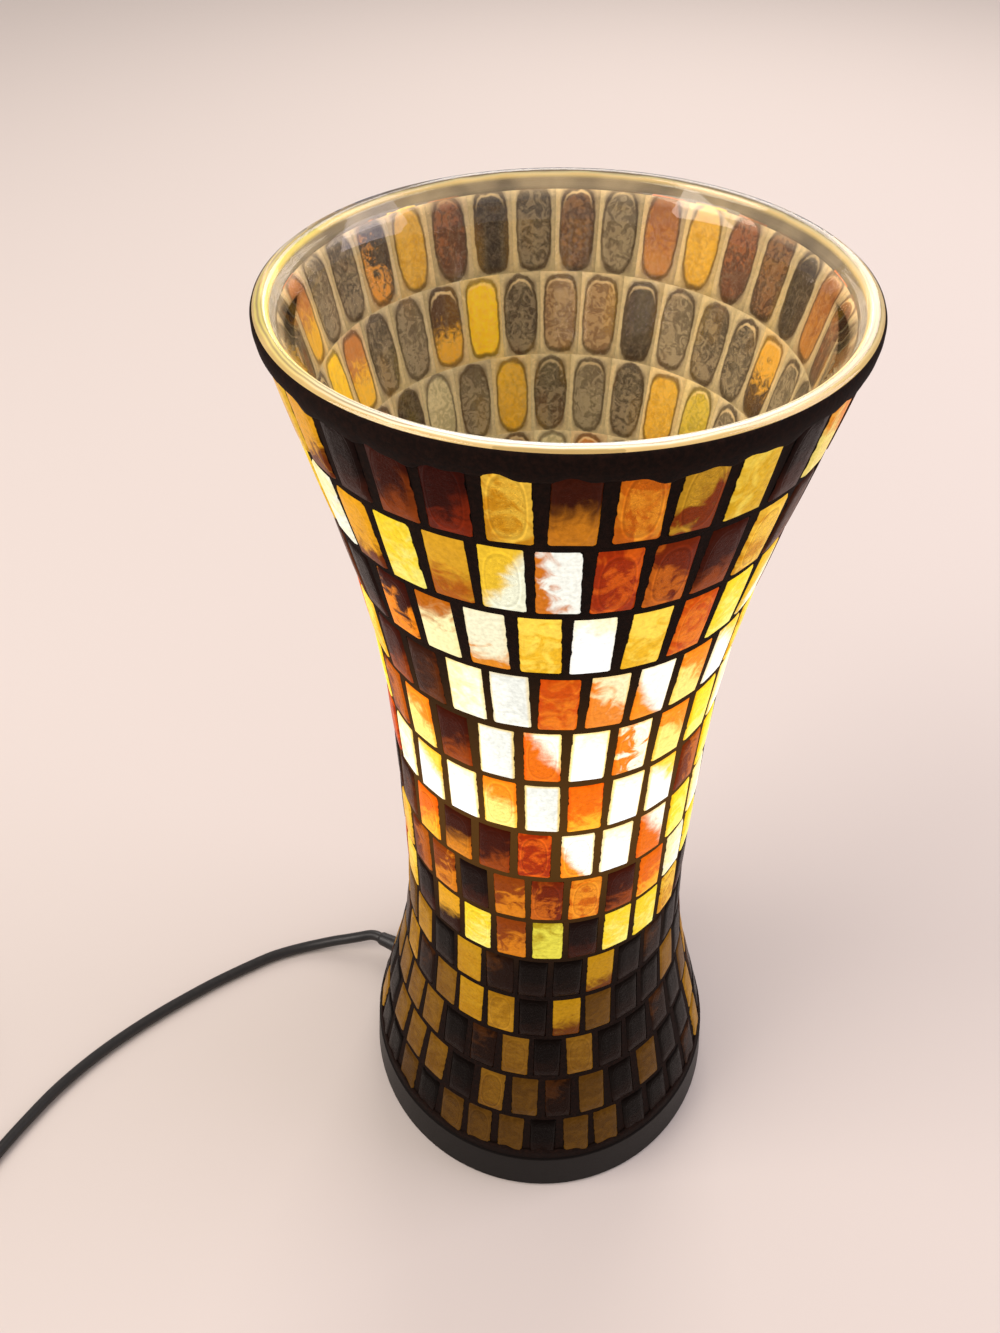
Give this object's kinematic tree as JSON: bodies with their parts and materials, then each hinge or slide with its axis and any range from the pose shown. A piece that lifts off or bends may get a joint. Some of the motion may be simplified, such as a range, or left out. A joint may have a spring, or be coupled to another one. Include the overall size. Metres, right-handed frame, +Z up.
{
  "type": "table lamp",
  "caption": "Hourglass table lamp: a clear glass vase covered in hand-laid glass tiles over a plain bulb, on a round base, with a cord, rocker switch and plug.",
  "frame": {"origin": "middle of the round base, on the surface it stands on", "axes": "+Z up along the vase's axis, -Y towards the side seen first, the cord leaves at the back left"},
  "size_m": [0.4296, 0.2161, 0.35],
  "materials": {
    "clear_glass": "gloss",
    "clear_adhesive": "satin",
    "dark_grout": "matte",
    "black_glass": "gloss",
    "brown_glass": "gloss",
    "red_glass": "gloss",
    "orange_glass": "gloss",
    "amber_glass": "gloss",
    "yellow_glass": "gloss",
    "pearl_glass": "gloss",
    "dark_plastic": "satin",
    "seal_rubber": "matte",
    "cover_board": "matte",
    "plated_steel": "satin",
    "felt_pad": "matte",
    "cord_rubber": "satin",
    "plated_brass": "satin",
    "holder_ceramic": "gloss",
    "black_plastic": "satin",
    "brown_wire": "satin",
    "blue_wire": "satin",
    "frosted_glass": "satin",
    "cap_aluminium": "satin",
    "solder_tip": "satin",
    "lamp_glass": "gloss",
    "tungsten": "satin",
    "tie_plastic": "satin",
    "rocker_plastic": "satin"
  },
  "bodies": {
    "lamp": {"glass_vase": "clear_glass", "adhesive_film": "clear_adhesive", "grout": "dark_grout", "tiles_black": "black_glass", "tiles_brown": "brown_glass", "tiles_red": "red_glass", "tiles_orange": "orange_glass", "tiles_amber": "amber_glass", "tiles_yellow": "yellow_glass", "tiles_pearl": "pearl_glass", "base_ring": "dark_plastic", "foot_gasket": "seal_rubber", "base_cover": "cover_board", "cover_screws": "plated_steel", "foot_pads": "felt_pad", "strain_relief": "cord_rubber", "cord_clamp": "plated_steel", "clamp_screws": "plated_steel", "inner_cord": "cord_rubber", "stem_nipple": "plated_brass", "stem_sleeve": "plated_brass", "vase_nut": "plated_brass", "base_nut": "plated_steel", "rubber_washer": "seal_rubber", "steel_washers": "plated_steel", "holder_base": "holder_ceramic", "holder_carrier": "holder_ceramic", "thread_shell": "plated_brass", "holder_skirt": "black_plastic", "centre_contact": "plated_brass", "terminal_screws": "plated_brass", "wire_live": "brown_wire", "wire_neutral": "blue_wire", "cord_run": "cord_rubber", "cord_link": "cord_rubber", "cord_coil": "cord_rubber", "coil_tie": "tie_plastic", "cord_tail": "cord_rubber", "switch_base": "black_plastic", "switch_cover": "black_plastic", "switch_terminals": "plated_brass", "switch_screws": "plated_steel", "rocker_pin": "plated_steel", "plug_body": "black_plastic", "plug_boot": "cord_rubber", "plug_pins": "plated_brass"},
    "bulb": {"bulb_glass": "frosted_glass", "bulb_cap": "cap_aluminium", "bulb_insulator": "black_glass", "bulb_tip": "solder_tip", "filament_mount": "lamp_glass", "filament": "tungsten"},
    "rocker": {"switch_rocker": "rocker_plastic", "rocker_contact": "plated_brass"}
  },
  "joints": [
    {"name": "bulb_withdraw", "type": "slide", "parent": "lamp", "child": "bulb", "axis": [0, 0, 1], "range_m": [0, 0.285]},
    {"name": "rocker_tip", "type": "hinge", "parent": "lamp", "child": "rocker", "pos_m": [-0.288, -0.127, 0.0165], "axis": [-0.2419, 0.9703, 0], "range_deg": [-20, 0]}
  ]
}
